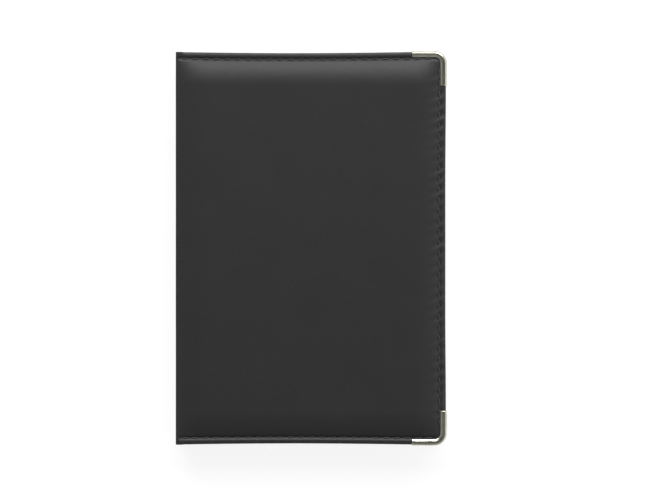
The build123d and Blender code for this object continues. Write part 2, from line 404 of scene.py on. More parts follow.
# %% Shape of the padded cover
MARGIN = 3.4 * MM  # from the leather's edge to the foot of the padding
STITCH_INSET = 2.6 * MM
STITCH_PITCH = 4.1 * MM
SHOULDER, SPINE_SHOULDER = 10 * MM, 12 * MM
PAD_FOOT = 3.0 * MM
CORNER_RADIUS = 4.5 * MM
GROOVE_DEPTH, GROOVE_WIDTH = 0.37 * MM, 0.55 * MM
FORE_EASING = 0.6  # how much shallower, and wider, the groove is at the fore edge
HEAD_BEAD, TAIL_BEAD = 0.05 * MM, 0.12 * MM  # the roll of leather outside the stitches
BEAD_INSET, BEAD_WIDTH = 1.4 * MM, 0.5 * MM
END_PUCKER, FORE_PUCKER = 0.07 * MM, 0.22 * MM
END_REACH, FORE_REACH = 2.2 * MM, 2.7 * MM  # how far the puckers run to each side of the stitches
END_PULL, FORE_PULL, PULL_REACH = 0.42 * MM, 0.2 * MM, 6 * MM
FORE_FALL = 0.35 * MM  # how much the fore margin drops towards its edge
PUCKER_SLANT = 0.35 * STITCH_PITCH / (3 * MM)  # sideways per step inwards
SWELL_HEIGHT, SWELLS_PER_METRE, SWELL_SLICE = 0.02 * MM, 45, 3.7
LEG = corner_high.x - corner_low.x

fold_radius = leather
cover_start = spine_face + fold_radius
stitch_start = fold_x + leather / 2 + 0.15 * MM
head_run = fore_edge - CORNER_RADIUS - stitch_start
head_count = math.floor(head_run / STITCH_PITCH)
head_middle = stitch_start + head_run / 2
fore_count = math.floor(2 * (head_edge - CORNER_RADIUS) / STITCH_PITCH)


def shoulder(distance, reach):
    """Share of the foam's thickness at a distance from its foot: an arc that ends level."""
    radius = (reach**2 + foam**2) / (2 * foam)
    left = reach - np.clip(distance, 0, reach)
    return 1 - (radius - np.sqrt(radius**2 - left**2)) / foam


def crown(x, y):
    """Height of the padding over the margin."""
    ends = shoulder(head_edge - PAD_FOOT - np.abs(y), SHOULDER)
    sides = shoulder(fore_edge - PAD_FOOT - x, SHOULDER) * shoulder(x - cover_start, SPINE_SHOULDER)
    return foam * ends * sides


def stitch_wave(along, middle, count):
    """1 at the middle of each stitch and -1 between stitches. No two are drawn equally tight."""
    phase = (along - middle) / STITCH_PITCH + (0.5 if count % 2 == 0 else 0)
    inside = smooth_step(count * STITCH_PITCH / 2 - np.abs(along - middle), 0, STITCH_PITCH)
    tension = 0.75 + 0.35 * np.sin(1.9 * phase) * np.sin(0.83 * phase + 1)
    return np.cos(2 * math.pi * phase) * inside * tension


def puckers(x, y):
    """Small hollows where the thread pulls the leather down."""
    head_inset, fore_inset = head_edge - np.abs(y), fore_edge - x
    off_head, off_fore = head_inset - STITCH_INSET, fore_inset - STITCH_INSET
    at_head = stitch_wave(x + off_head * PUCKER_SLANT, head_middle, head_count)
    at_fore = stitch_wave(y + off_fore * PUCKER_SLANT, 0, fore_count)
    near_head = np.exp(-((off_head / END_REACH) ** 2))
    near_fore = np.exp(-((off_fore / FORE_REACH) ** 2))
    return -END_PUCKER * at_head * near_head - FORE_PUCKER * at_fore * near_fore


def pulled(x, y):
    """Plan place of a point once the stitching has drawn the edges in between the corners."""
    ends = np.clip((x - cover_start) / (fore_edge - LEG - cover_start), 0, 1)
    sides = np.clip(1 - np.abs(y) / (head_edge - LEG), 0, 1)
    fade_y = np.exp(-(((head_edge - np.abs(y)) / PULL_REACH) ** 2))
    fade_x = np.exp(-(((fore_edge - x) / PULL_REACH) ** 2))
    drawn_y = END_PULL * np.sin(math.pi * ends) * fade_y
    drawn_x = FORE_PULL * smooth_step(sides, 0, 0.6) * fade_x
    return x - drawn_x, y - np.sign(y) * drawn_y


def unevenness(x, y):
    """Slow swells in the hide, too low to see except in its shine."""
    places = np.stack([x * SWELLS_PER_METRE, y * SWELLS_PER_METRE, 0 * x + SWELL_SLICE], -1)
    swell = [noise.noise(place) for place in places.reshape(-1, 3).tolist()]
    return SWELL_HEIGHT * np.reshape(swell, x.shape)


def edge_inset(x, y):
    """How far a point is in from the rounded outline, and its share of the fore edge."""
    past_x, past_y = x - fore_edge + CORNER_RADIUS, np.abs(y) - head_edge + CORNER_RADIUS
    in_corner = (past_x > 0) & (past_y > 0)
    past = np.where(in_corner, np.hypot(past_x, past_y), np.maximum(past_x, past_y))
    square = np.maximum(past_x**2 + past_y**2, 1e-12)
    share = np.where(in_corner, past_x**2 / square, past_x > past_y)
    return CORNER_RADIUS - past, share


def margin_relief(x, y):
    """The stitched groove, the bead of leather outside it, and the fall of the fore margin."""
    inset, fore_share = edge_inset(x, y)
    depth = GROOVE_DEPTH * (1 - FORE_EASING * fore_share)
    width = GROOVE_WIDTH * (1 + FORE_EASING * fore_share)
    groove = -depth * np.exp(-(((inset - STITCH_INSET) / width) ** 2))
    headward = smooth_step(y, -head_edge / 2, head_edge / 2)
    height = TAIL_BEAD + (HEAD_BEAD - TAIL_BEAD) * headward
    bead = height * np.exp(-(((inset - BEAD_INSET) / BEAD_WIDTH) ** 2))
    fall = -FORE_FALL * fore_share * np.clip(1 - inset / MARGIN, 0, 1) ** 1.5
    return groove + bead + fall


print("stitches:", head_count, "at the head and tail,", fore_count, "at the fore edge")

# %% [markdown]
# The skin is one sheet: half the spine, the fold, the cover, and its turned-in edge. It could be cut
# from a subdivided box, but the edge loops would then be hard to place. Here a grid covers the pad,
# and rings of points run on from its border, over the stitched margin, round the edge and under.
# At the two outer corners the grid is squeezed into a quarter circle, which keeps every face
# four-sided.

# %% Lay out the skin
STEP = STITCH_PITCH / 5
CORNER_CELLS = 8
inner_radius = CORNER_RADIUS - MARGIN
NOSE_SHARE = 0.48  # how deep the rounded edge is, as a share of the cover's thickness
NOSE_POWER = 2.5  # 2 is an ellipse, and more is squarer
UNDER_REACH = 4.4 * MM
SPINE_THICKNESS = 0.85 * leather  # under the fold's radius, so that the fold's inside stays open
SHELL = 0.3 * MM
DETAIL_FADE = 0.8 * MM  # stitched details start over this far from the spine
BOARD_FADE = 0.7 * MM  # and the edge grows to its full thickness over this far
RIM_REACH = 1.2 * MM


def steps(low, high, step):
    """Even places from low up to, but not including, high."""
    count = max(1, round((high - low) / step))
    return low + (high - low) * np.arange(count) / count


def skin_path():
    """The skin's line across the book: x and z, the way out, and the length so far."""
    spine_z = steps(middle, margin_top - fold_radius, 1 * MM)
    turn = steps(0, math.pi / 2, math.pi / 16)
    flat_x = steps(cover_start, fore_edge - MARGIN - inner_radius, STEP)
    cells = np.arange(CORNER_CELLS + 1) / CORNER_CELLS
    corner_x = fore_edge - MARGIN - inner_radius + inner_radius * cells
    cover_x = np.concatenate([flat_x, corner_x])
    arc_x = cover_start - fold_radius * np.cos(turn)
    arc_z = margin_top - fold_radius + fold_radius * np.sin(turn)
    spine_part = (spine_face, spine_z, -1.0, 0.0)
    arc_part = (arc_x, arc_z, -np.cos(turn), np.sin(turn))
    cover_part = (cover_x, margin_top, 0.0, 1.0)
    parts = [np.array(np.broadcast_arrays(*part)) for part in (spine_part, arc_part, cover_part)]
    x, z, out_x, out_z = np.concatenate(parts, axis=1)
    length = np.concatenate([[0], np.cumsum(np.hypot(np.diff(x), np.diff(z)))])
    return x, z, out_x, out_z, length


def skin_rows():
    """Places along the book, closer together in the rounded corners."""
    reach = head_edge - MARGIN
    fine = inner_radius * np.arange(CORNER_CELLS) / CORNER_CELLS
    coarse = steps(inner_radius - reach, reach - inner_radius, STEP)
    return np.concatenate([-reach + fine, coarse, reach - inner_radius + fine, [reach]])


def squeeze_corner(x, y):
    """Moves the points of the two square corners onto quarter circles."""
    past_x = np.clip(x - (fore_edge - MARGIN - inner_radius), 0, None)
    past_y = np.clip(np.abs(y) - (head_edge - MARGIN - inner_radius), 0, None)
    both = (past_x > 0) & (past_y > 0)
    scale = np.where(both, np.maximum(past_x, past_y) / np.maximum(np.hypot(past_x, past_y), 1e-12), 1)
    side = np.sign(y)
    return x - past_x * (1 - scale), y - side * past_y * (1 - scale)


def edge_profile(thickness):
    """The margin and edge in section: rows of (inset from the edge, fall below the margin's level)."""
    nose = NOSE_SHARE * thickness
    half = thickness / 2
    over = [(inset, 0.0) for inset in np.linspace(MARGIN, nose, 12)[1:]]
    turn = np.linspace(math.pi / 2, -math.pi / 2, 17)[1:]
    cos = np.abs(np.cos(turn)) ** (2 / NOSE_POWER)
    sin = np.sign(np.sin(turn)) * np.abs(np.sin(turn)) ** (2 / NOSE_POWER)
    round_edge = [(nose * (1 - c), half * (1 - s)) for c, s in zip(cos, sin)]
    under = [(inset, thickness) for inset in np.linspace(nose, UNDER_REACH, 5)[1:]]
    return np.array(over + round_edge + under)


def skin_lift(x, y, cover_share):
    """Height of the skin over the margin's level. The stitched details fade out towards the spine."""
    return crown(x, y) + (margin_relief(x, y) + puckers(x, y)) * cover_share


# %% [markdown]
# With the layout ready, the sheet is assembled. Each border point of the grid knows which way is out,
# and the rings step that way while they follow the edge's profile. The leather is thin at the spine
# and thick over the board, so the profile is worked out again for each border point.

# %% Build the skin
def build_skin():
    """Points, faces, flat map and rim value of the front skin."""
    path_x, path_z, out_x, out_z, length = skin_path()
    rows = skin_rows()
    grid_x, grid_y = np.meshgrid(path_x, rows, indexing="ij")
    on_cover = smooth_step(path_x, cover_start, cover_start + DETAIL_FADE)
    square_x = grid_x
    grid_x, grid_y = squeeze_corner(grid_x, grid_y)
    lift = skin_lift(grid_x, grid_y, on_cover[:, None])
    flat = on_cover[:, None] > 0
    lift = np.where(flat, lift, 0) + unevenness(grid_x, grid_y)
    drawn_x, drawn_y = pulled(grid_x, grid_y)
    px = np.where(flat, drawn_x, grid_x) + out_x[:, None] * lift
    py = np.where(flat, drawn_y, grid_y)
    pz = path_z[:, None] + out_z[:, None] * lift
    points, rim = [np.stack([px, py, pz], -1).reshape(-1, 3)], [np.zeros(grid_x.size)]
    moved_u = length[:, None] + (grid_x - square_x)
    uvs = [np.stack([moved_u, grid_y], -1).reshape(-1, 2)]
    faces = [grid_faces(*grid_x.shape)]

    columns, last = len(path_x), len(rows) - 1
    border = [(i, 0) for i in range(columns)] + [(columns - 1, j) for j in range(1, last + 1)]
    border += [(i, last) for i in range(columns - 2, -1, -1)]
    column, row = np.array(border).T
    base_x, base_y = grid_x[column, row], grid_y[column, row]
    centre_x = fore_edge - MARGIN - inner_radius
    centre_y = head_edge - MARGIN - inner_radius
    way_x = np.clip(base_x - centre_x, 0, None)
    way_y = np.sign(base_y) * np.clip(np.abs(base_y) - centre_y, 0, None)
    size = np.hypot(way_x, way_y)
    way_x, way_y = way_x / size, way_y / size
    over_board = smooth_step(path_x[column], board_low.x, board_low.x + BOARD_FADE)
    thickness = SPINE_THICKNESS + (margin_thickness - SPINE_THICKNESS) * over_board
    profiles = np.array([edge_profile(t) for t in thickness])
    cover = on_cover[column]
    border_uv = uvs[0].reshape(*grid_x.shape, 2)[column, row]
    start = np.ravel_multi_index((column, row), grid_x.shape)
    count = len(points[0])
    travelled, nothing = np.zeros(len(column)), np.zeros(len(column))
    last_point = np.stack([nothing + MARGIN, nothing], -1)
    for ring in range(profiles.shape[1]):
        inset, fall = profiles[:, ring, 0], profiles[:, ring, 1]
        travelled = travelled + np.hypot(inset - last_point[:, 0], fall - last_point[:, 1])
        last_point = np.stack([inset, fall], -1)
        reach = MARGIN - inset
        rx, ry = base_x + way_x * reach, base_y + way_y * reach
        relief = np.where(cover > 0, skin_lift(rx, ry, cover), 0)
        relief = relief * (1 - smooth_step(fall / thickness, 0, 0.5))
        mx, my = pulled(rx, ry)
        mx, my = np.where(cover > 0, mx, rx), np.where(cover > 0, my, ry)
        high = relief - fall
        z = path_z[column] + out_z[column] * high
        points.append(np.stack([mx + out_x[column] * high, my, z], -1))
        rim.append(np.exp(-((inset / RIM_REACH) ** 2)))
        uvs.append(border_uv + np.stack([way_x, way_y], -1) * travelled[:, None])
        here = count + np.arange(len(column))
        faces.append(np.stack([start[:-1], here[:-1], here[1:], start[1:]], -1))
        start, count = here, count + len(column)
    return [np.concatenate(part) for part in (points, faces, uvs, rim)]


def thicken(points, faces, depth):
    """A closed shell: the sheet, a copy that lies deeper, and a strip round their edges."""
    corners = points[faces]
    ahead, across = corners[:, 2] - corners[:, 0], corners[:, 3] - corners[:, 1]
    normals = np.zeros_like(points)
    for corner in range(4):
        np.add.at(normals, faces[:, corner], np.cross(ahead, across))
    normals /= np.linalg.norm(normals, axis=1)[:, None]
    following = np.roll(faces, -1, axis=1)
    edges = set(zip(faces.ravel().tolist(), following.ravel().tolist()))
    open_edges = sorted(edge for edge in edges if edge[::-1] not in edges)
    count = len(points)
    strip = np.array([(b, a, a + count, b + count) for a, b in open_edges])
    all_faces = np.concatenate([faces, faces[:, ::-1] + count, strip])
    return np.concatenate([points, points - depth * normals]), all_faces


sheet_points, sheet_faces, sheet_uvs, sheet_rim = build_skin()
skin_points, skin_faces = thicken(sheet_points, sheet_faces, SHELL)
skin_uvs, skin_rim = np.tile(sheet_uvs, (2, 1)), np.tile(sheet_rim, 2)
print("the skin has", len(skin_faces), "faces")

# %% [markdown]
# A cover that opens has to bend at the spine, between the top of the spine and the start of the cover.
# The ends of that stretch are worked out here for each skin.

# %% Make the two skins
fold_from = Vector((spine_face, 0, margin_top - fold_radius))
fold_to = Vector((cover_start, 0, margin_top))


def over(point):
    """The point's twin on the back half."""
    return Vector((point[0], point[1], top - point[2]))


def bend(piece, side, start, end):
    """Bakes a piece's placement into its points; start and end are not used."""
    if side == "front":
        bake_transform(piece)
    else:
        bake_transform(piece)


def both_halves(points, faces):
    """The side's name and the shape, for the front and then for the back."""
    return ("front", (points, faces)), ("back", turned_over(points, faces))


folds = {"front": (fold_from, fold_to), "back": (over(fold_from), over(fold_to))}
for side, shape in both_halves(skin_points, skin_faces):
    skin = make_piece(f"{side}_skin", *shape, black_leather, skin_uvs, crease_deg=80)
    stored = skin.data.attributes.new(RIM, "FLOAT", "POINT")
    stored.data.foreach_set("value", skin_rim.astype(np.float32))
    bend(skin, side, *folds[side])
    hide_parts(f"{side}_leather", "spine_leather")
    print("made", skin.name)

# %% [markdown]
# ## Foam and boards
# Under the leather lies a pad of foam on a stiff board. Neither shows. The foam is the cover's own
# formula again, one thickness of leather lower, closed below.
# The board is a flat plate that CAD already has right, so it only needs a finish, further on.

# %% Foam and board
PAD_SETBACK = 0.6 * MM  # from the board's edge at the spine
PAD_CLEARANCE = 0.3 * MM  # from the foot of the leather's padding
PAD_SHARE = 0.96  # of the crown's height, the rest being leather
PAD_RIM = 0.02 * MM  # thickness of the pad's edge
PAD_ROWS, PAD_COLUMNS = 70, 100


def foam_finish():
    finish = Finish("padding_foam", (0.34, 0.33, 0.3), Roughness=0.95)
    bubbles = finish.cells(finish.place("Object"), 0.7 * MM)
    bubble_relief_and_shade = finish.band(bubbles, 0.0, 0.3)
    # painted shade: the foam is darker in the low lines between its bubbles, where the bump sinks
    finish.tint(bubble_relief_and_shade, (0.22, 0.215, 0.2), (0.4, 0.39, 0.36))
    finish.emboss(bubble_relief_and_shade, 0.2 * MM)
    return finish.material


def board_finish():
    finish = Finish("grey_board", (0.3, 0.28, 0.25), Roughness=0.9)
    where = finish.place("Object")
    fibres = finish.grain(where, 0.9 * MM, detail=5, stretch=(1, 4, 4))
    specks = finish.grain(where, 0.35 * MM) > 0.66
    tone = finish.mix(fibres, (0.24, 0.22, 0.2), (0.38, 0.36, 0.32))
    finish.tint(specks * 0.5, tone, (0.1, 0.1, 0.1))
    finish.emboss(fibres, 0.05 * MM)
    return finish.material


def build_padding():
    """A closed pad: a crowned upper sheet over a flat lower one, joined round its edge."""
    foot = MARGIN + PAD_CLEARANCE
    xs = np.linspace(board_low.x + PAD_SETBACK, fore_edge - foot, PAD_ROWS)
    ys = np.linspace(foot - head_edge, head_edge - foot, PAD_COLUMNS)
    grid_x, grid_y = np.meshgrid(xs, ys, indexing="ij")
    under_skin = crown(grid_x, grid_y) * PAD_SHARE
    upper = np.stack([grid_x, grid_y, board_high.z + PAD_RIM + under_skin], -1).reshape(-1, 3)
    lower = np.stack([grid_x, grid_y, np.full(grid_x.shape, board_high.z)], -1).reshape(-1, 3)
    return slab(upper, lower, *grid_x.shape)


padding_foam, grey_board = foam_finish(), board_finish()
for side, shape in both_halves(*build_padding()):
    pad = make_piece(f"{side}_padding", *shape, padding_foam)
    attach(pad, f"{side}_cover")
    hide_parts(f"{side}_foam")
    print("made", pad.name, "with", len(pad.data.polygons), "faces")

# %% [markdown]
# ## Stitches
# Waxed thread is two plies twisted together. It comes up through one hole, lies on the leather and
# goes down through the next, so its ends dip and its middle stands up. Each stitch is a short tube
# whose section is a soft figure of eight that turns along it. That is real relief, which a bump on a
# plain tube can't give at the outline.

# %% Stitches
THREAD_RADIUS = 0.22 * MM
STITCH_LENGTH = 3.3 * MM
STITCH_RINGS, STITCH_SIDES = 15, 8
TWISTS, PLY_RELIEF = 2.5, 0.16
DIP, DIP_POWER, END_POWER = 0.42 * MM, 3.5, 6  # how the ends go down, and how blunt they are
LEAN_DEG, LEAN_SPREAD = 5, 1.5
SEAT = 0.7  # how much of its radius a thread stands over the leather, and of a pucker it sinks


def thread_finish():
    finish = Finish("black_thread", (0.02, 0.02, 0.021), Roughness=0.5, Specular_IOR_Level=0.35)
    where = finish.place("Object")
    strands = finish.grain(where, 0.09 * MM, detail=3)
    finish.tint(strands, (0.034, 0.034, 0.035), (0.068, 0.068, 0.07))
    finish.feed("Roughness", 0.42 + 0.25 * strands)
    finish.emboss(strands, 0.03 * MM)
    return finish.material


def stitch(centre, heading):
    """One twisted stitch about a centre, along a heading in plan."""
    along = np.linspace(-0.5, 0.5, STITCH_RINGS)
    around = np.arange(STITCH_SIDES) * 2 * math.pi / STITCH_SIDES
    s, a = np.meshgrid(along, around, indexing="ij")
    plies = 1 + PLY_RELIEF * np.cos(2 * (a - TWISTS * 2 * math.pi * s))
    ends = np.sqrt(np.clip(1 - (2 * np.abs(s)) ** END_POWER, 0.02, 1))
    sideways = THREAD_RADIUS * plies * ends * np.cos(a)
    upwards = THREAD_RADIUS * plies * ends * np.sin(a) - DIP * (2 * np.abs(s)) ** DIP_POWER
    forward = s * STITCH_LENGTH
    x = centre[0] + forward * heading[0] - sideways * heading[1]
    y = centre[1] + forward * heading[1] + sideways * heading[0]
    points = np.stack([x, y, centre[2] + upwards], -1).reshape(-1, 3)
    return points, tube_faces(*s.shape)


def stitch_places():
    """Centre and heading of each stitch: along the head and tail, then along the fore edge."""
    for number in range(head_count):
        x = head_middle + (number - (head_count - 1) / 2) * STITCH_PITCH
        for side in (-1, 1):
            yield (x, side * (head_edge - STITCH_INSET)), (1, 0)
    for number in range(fore_count):
        yield (fore_edge - STITCH_INSET, (number - (fore_count - 1) / 2) * STITCH_PITCH), (0, 1)


def build_stitches():
    """Every stitch of one cover, each a closed tube with a small lean of its own."""
    chance = random.Random(11)
    made = []
    for (x, y), heading in stitch_places():
        lean = math.radians(LEAN_DEG + chance.uniform(-LEAN_SPREAD, LEAN_SPREAD))
        turn = math.atan2(heading[1], heading[0]) + lean
        place = np.array(x), np.array(y)
        mx, my = pulled(*place)
        sunk = float(margin_relief(*place) + SEAT * puckers(*place))
        centre = float(mx), float(my), margin_top + sunk + SEAT * THREAD_RADIUS
        made.append(stitch(centre, (math.cos(turn), math.sin(turn))))
    return joined(made)


black_thread = thread_finish()
for side, shape in both_halves(*build_stitches()):
    thread = make_piece(f"{side}_stitches", *shape, black_thread, crease_deg=120)
    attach(thread, f"{side}_cover")
    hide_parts(f"{side}_stitching")
print("stitches on each cover:", 2 * head_count + fore_count)

# %% [markdown]
# ## Metal corners
# A corner is a strip of plated sheet, pressed to a half-round bead and folded over the cover's edge.
# In section it is a C. Sweeping that section along two legs and a quarter turn gives the whole
# piece, with a real thickness at its cut ends. A bevelled box could not have the bead, and the bead
# is what draws the thin bright and dark lines along polished metal.

# %% Nickel finish
def nickel_finish():
    finish = Finish("nickel_plate", (0.64, 0.63, 0.54), Metallic=1.0, Roughness=0.14)
    where = finish.place("Object")
    scratches = finish.grain(where, 0.25 * MM, detail=4, stretch=(0.15, 1, 1))
    handled = finish.grain(where, 3 * MM, detail=4)
    worn = finish.band(handled, 0.45, 0.7)
    finish.tint(worn, (0.66, 0.655, 0.56), (0.56, 0.55, 0.45))
    finish.feed("Roughness", 0.1 + 0.1 * worn + 0.07 * scratches)
    finish.emboss(scratches, 0.004 * MM)
    return finish.material

# %% [markdown]
# The section starts at the outer face, goes over the bead to the lip's edge, and comes back inside.
# It shrinks a little at each end of the sweep, as a cut edge of thin metal is broken by polishing.

# %% Corner section and sweep
LIP = 2.6 * MM  # from the metal's outer face to the lip's inner edge
SHEET = 0.38 * MM
CREST = 1.25 * MM  # how far in from the outer face the bead is highest
LIP_FALL = 0.45 * MM
LIP_GAP = 0.03 * MM  # between the lip and the leather under it
LIP_EDGE = [(0.02 * MM, -0.12 * MM), (-0.08 * MM, -0.15 * MM), (-0.7 * MM, 0.02 * MM)]
INNER_REACH, INNER_POWER = 0.75 * MM, 0.8  # the round between the wall and the lip, inside
CUT_END = [(0.0, 0.16 * MM), (0.1 * MM, 0.05 * MM), (0.3 * MM, 0.0)]  # place and shrink
BEAD_POWER, FALL_POWER = 2.2, 1.4  # 2 is round, and more is squarer
metal_proud = corner_high.x - fore_edge
edge_middle = margin_top - margin_thickness / 2
metal_half = margin_thickness / 2 + metal_proud


def bead(inset, shrink):
    """Height of the metal over the middle of the cover's edge, at an inset from its outer face."""
    rise = np.clip(1 - inset / CREST, 0, 1)
    nose = (metal_half - shrink) * (1 - rise**BEAD_POWER) ** (1 / BEAD_POWER)
    fall = LIP_FALL * (np.clip(inset - CREST, 0, None) / (LIP - CREST)) ** FALL_POWER
    return nose - fall


def corner_section(shrink):
    """The closed C in section: (inset, height), over the bead, round the edge, and back inside."""
    over_bead = CREST * (1 - np.cos(np.linspace(0, math.pi / 2, 10)))
    insets = np.concatenate([over_bead, np.linspace(CREST, LIP, 9)[1:]])
    upper = [(inset, float(bead(inset, shrink))) for inset in insets]
    edge = metal_half - metal_proud + LIP_GAP
    tip = [(LIP + inset, edge + height) for inset, height in LIP_EDGE]
    inner = []
    for turn in np.linspace(math.pi / 2, 0, 7)[:-1]:
        inset = SHEET + INNER_REACH * (1 - math.cos(turn) ** INNER_POWER)
        inner.append((inset, edge * math.sin(turn) ** INNER_POWER))
    half = upper + tip + inner
    below = [(inset, -height) for inset, height in half[::-1] if height > 1e-9]
    return np.array([*half, (SHEET, 0.0), *below]) + np.array([shrink * 0.6, 0])


def corner_path():
    """Places along the outer face, head leg first: x, y, the way out, and the end's shrink."""
    outer_x, outer_y = corner_high.x, corner_high.y
    radius = CORNER_RADIUS + metal_proud
    along = CUT_END + [(t, 0.0) for t in np.linspace(CUT_END[-1][0], LEG - radius, 8)[1:]]
    path = [(outer_x - LEG + t, outer_y, 0.0, 1.0, shrink) for t, shrink in along]
    for turn in np.linspace(math.pi / 2, 0, 17)[1:-1]:
        way = (math.cos(turn), math.sin(turn))
        path.append((outer_x - radius * (1 - way[0]), outer_y - radius * (1 - way[1]), *way, 0.0))
    path += [(outer_x, outer_y - LEG + t, 1.0, 0.0, shrink) for t, shrink in along[::-1]]
    return path


def build_corner():
    """The swept corner cap, with its two cut ends closed."""
    rings = []
    for x, y, way_x, way_y, shrink in corner_path():
        inset, height = corner_section(shrink).T
        rings.append(np.stack([x - way_x * inset, y - way_y * inset, edge_middle + height], -1))
    points = np.array(rings)
    return points.reshape(-1, 3), tube_faces(*points.shape[:2])


nickel = nickel_finish()
cap_points, cap_faces = build_corner()
for end, shape in both_ends(cap_points, cap_faces):
    for side, placed in both_halves(*shape):
        cap = make_piece(f"{side}_metal_corner_{end}", *placed, nickel, crease_deg=60)
        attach(cap, f"{side}_cover")
        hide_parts(f"{side}_corner_{end}")
print("a corner has", len(cap_faces), "faces")

# %% [markdown]
# ## Paper
# Writing paper is almost white, a little warm, and never quite even: it shows a faint cloud of
# fibres against the light. The leaves carry pale rules. Both are drawn on the flat map, so the rules
# stay on the paper when a leaf bends.

# %% Paper finishes
RULE_GAP = 7 * MM
RULE_WIDTH = 0.18 * MM
RULED_HEIGHT = 58 * MM
RULED_FROM, RULED_TO = bound_end + 6 * MM, page_edge - 7 * MM


def paper_finish(name, light, dark, ruled=False, space="UV", cloud_size=4 * MM, shine=0.3):
    finish = Finish(name, light, Roughness=0.85, Specular_IOR_Level=shine)
    where = finish.place(space)
    cloud = finish.grain(where, cloud_size, detail=5)
    fibres = finish.grain(where, 0.3 * MM, detail=4, stretch=(1, 3, 3))
    paper = finish.mix(0.5 * cloud + 0.5 * fibres, dark, light)
    if ruled:
        across, height, _ = finish.parts(where)
        line = (height / RULE_GAP).math("FRACT") < RULE_WIDTH / RULE_GAP
        inside = (height.math("ABSOLUTE") < RULED_HEIGHT) * (across > RULED_FROM) * (across < RULED_TO)
        paper = finish.mix(line * inside * 0.45, paper, (0.36, 0.42, 0.5))
    finish.feed("Base Color", paper)
    finish.emboss(fibres, 0.01 * MM)
    return finish.material


writing_paper = paper_finish("writing_paper", (0.86, 0.83, 0.75), (0.8, 0.77, 0.68), ruled=True)
END_PAPER_TONES = (0.8, 0.77, 0.7), (0.73, 0.7, 0.62)
end_paper = paper_finish("end_paper", *END_PAPER_TONES)

# %% [markdown]
# ## Leaves
# Twelve leaves make one signature: six sheets, one inside another, folded at the spine. A striped
# block would pass for them when the book is shut, but not when it opens. So every leaf is a thin
# slab. It starts at the tip of its fold, goes round a quarter circle to its own level, and runs to
# the fore edge, where its corners are rounded. The outer sheets go round a wider circle, as they do
# in a real signature.

# %% Leaf builder
BEND_START = bound_end + 0.2 * MM
BEND_END = BEND_START + 4.2 * MM
PAGE_CORNER = 5 * MM
GLUED_STEP, BEND_COLUMNS, FLAT_STEP = 1.5 * MM, 24, 12 * MM


def leaf_path(level, fold_level, fold_tip, fore, bend_end):
    """Line of one leaf in section: x, z and its face's direction, from the fold to the fore edge."""
    rise = level - fold_level
    size = abs(rise)
    turn = np.linspace(0, math.pi / 2, 6)
    fold_x_line = fold_tip + size * (1 - np.cos(turn))
    fold_z_line = fold_level + rise * np.sin(turn)
    runs = [
        steps(fold_tip + size, BEND_START, GLUED_STEP)[1:],
        steps(BEND_START, bend_end, (bend_end - BEND_START) / BEND_COLUMNS),
        steps(bend_end, fore - PAGE_CORNER, FLAT_STEP),
        fore - PAGE_CORNER * (1 - np.sin(np.linspace(0, math.pi / 2, 9))),
    ]
    flat = np.concatenate(runs)
    x = np.concatenate([fold_x_line, flat])
    z = np.concatenate([fold_z_line, np.full(len(flat), level)])
    sign = 1 if rise >= 0 else -1
    face_x = np.concatenate([-np.cos(turn), np.zeros(len(flat))])
    face_z = np.concatenate([sign * np.sin(turn), np.full(len(flat), sign)])
    return x, z, face_x, face_z


def leaf_solid(level, fold_level, fold_tip, thickness, fore, half_height, bend_end=BEND_END):
    """Points, faces and flat map of one leaf."""
    x, z, face_x, face_z = leaf_path(level, fold_level, fold_tip, fore, bend_end)
    past = np.clip(x - (fore - PAGE_CORNER), 0, PAGE_CORNER)
    half = half_height - (PAGE_CORNER - np.sqrt(PAGE_CORNER**2 - past**2))
    points, uvs = [], []
    for side, face in ((-1, -0.5), (1, -0.5), (1, 0.5), (-1, 0.5)):
        out = face * thickness
        points.append(np.stack([x + face_x * out, side * half, z + face_z * out], -1))
        uvs.append(np.stack([x, side * half], -1))
    points, uvs = np.stack(points, 1), np.stack(uvs, 1)
    faces = tube_faces(len(x), 4)
    if face_z[-1] < 0:
        faces = [face[::-1] for face in faces]
    return points.reshape(-1, 3), faces, uvs.reshape(-1, 2)


# %% [markdown]
# Each signature is built from its CAD box. Its leaves have close columns just past the glued edge,
# where a leaf bends.

# %% Signatures
LEAVES = 12
LEAF_FILL = 0.9  # share of each leaf's space that is paper
TRIM = 0.05 * MM  # how far a leaf may stand out of line with the next


def build_signature(low, high, chance):
    """All the leaves of one signature, between two levels."""
    pitch = (high - low) / LEAVES
    shapes = []
    for number in range(LEAVES):
        level = low + (number + 0.5) * pitch
        reach = abs(level - (low + high) / 2)
        tip = bound_edge + (high - low) / 2 - reach
        fore = page_edge - chance.uniform(0, TRIM)
        half = page_head - chance.uniform(0, TRIM)
        shapes.append(leaf_solid(level, (low + high) / 2, tip, pitch * LEAF_FILL, fore, half))
    return joined(shapes)


chance = random.Random(7)
signature_names = sorted(name for name in frame["nodes"] if "signature" in name)
for name in signature_names:
    low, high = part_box(name)
    points, faces, uvs = build_signature(low.z, high.z, chance)
    signature = make_piece(name.replace("signature", "gathering"), points, faces, writing_paper, uvs)
    bend(signature, name.split("_")[0], (BEND_START, 0, 0), (BEND_END, 0, 0))
    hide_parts(name, "spine_bound_edges")
print("signatures:", signature_names)

# %% [markdown]
# The eight leaves in the middle are pieces of their own. Each has its close columns over a longer
# stretch, because a single leaf is limp.

# %% Single leaves and flyleaves
LEAF_BEND_END = BEND_START + 50 * MM
FOLD_SETBACK = 0.5 * MM  # of the two middle folds, from the back of the block

for name in sorted(node for node in frame["nodes"] if "_leaf_" in node):
    low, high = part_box(name)
    level = (low.z + high.z) / 2
    tip = bound_edge + FOLD_SETBACK - abs(level - middle)
    fore, half = page_edge - chance.uniform(0, TRIM), page_head - chance.uniform(0, TRIM)
    points, faces, uvs = leaf_solid(level, middle, tip, high.z - low.z, fore, half, LEAF_BEND_END)
    leaf = make_piece(f"{name}_sheet", points, faces, writing_paper, uvs)
    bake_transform(leaf)
    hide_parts(name)

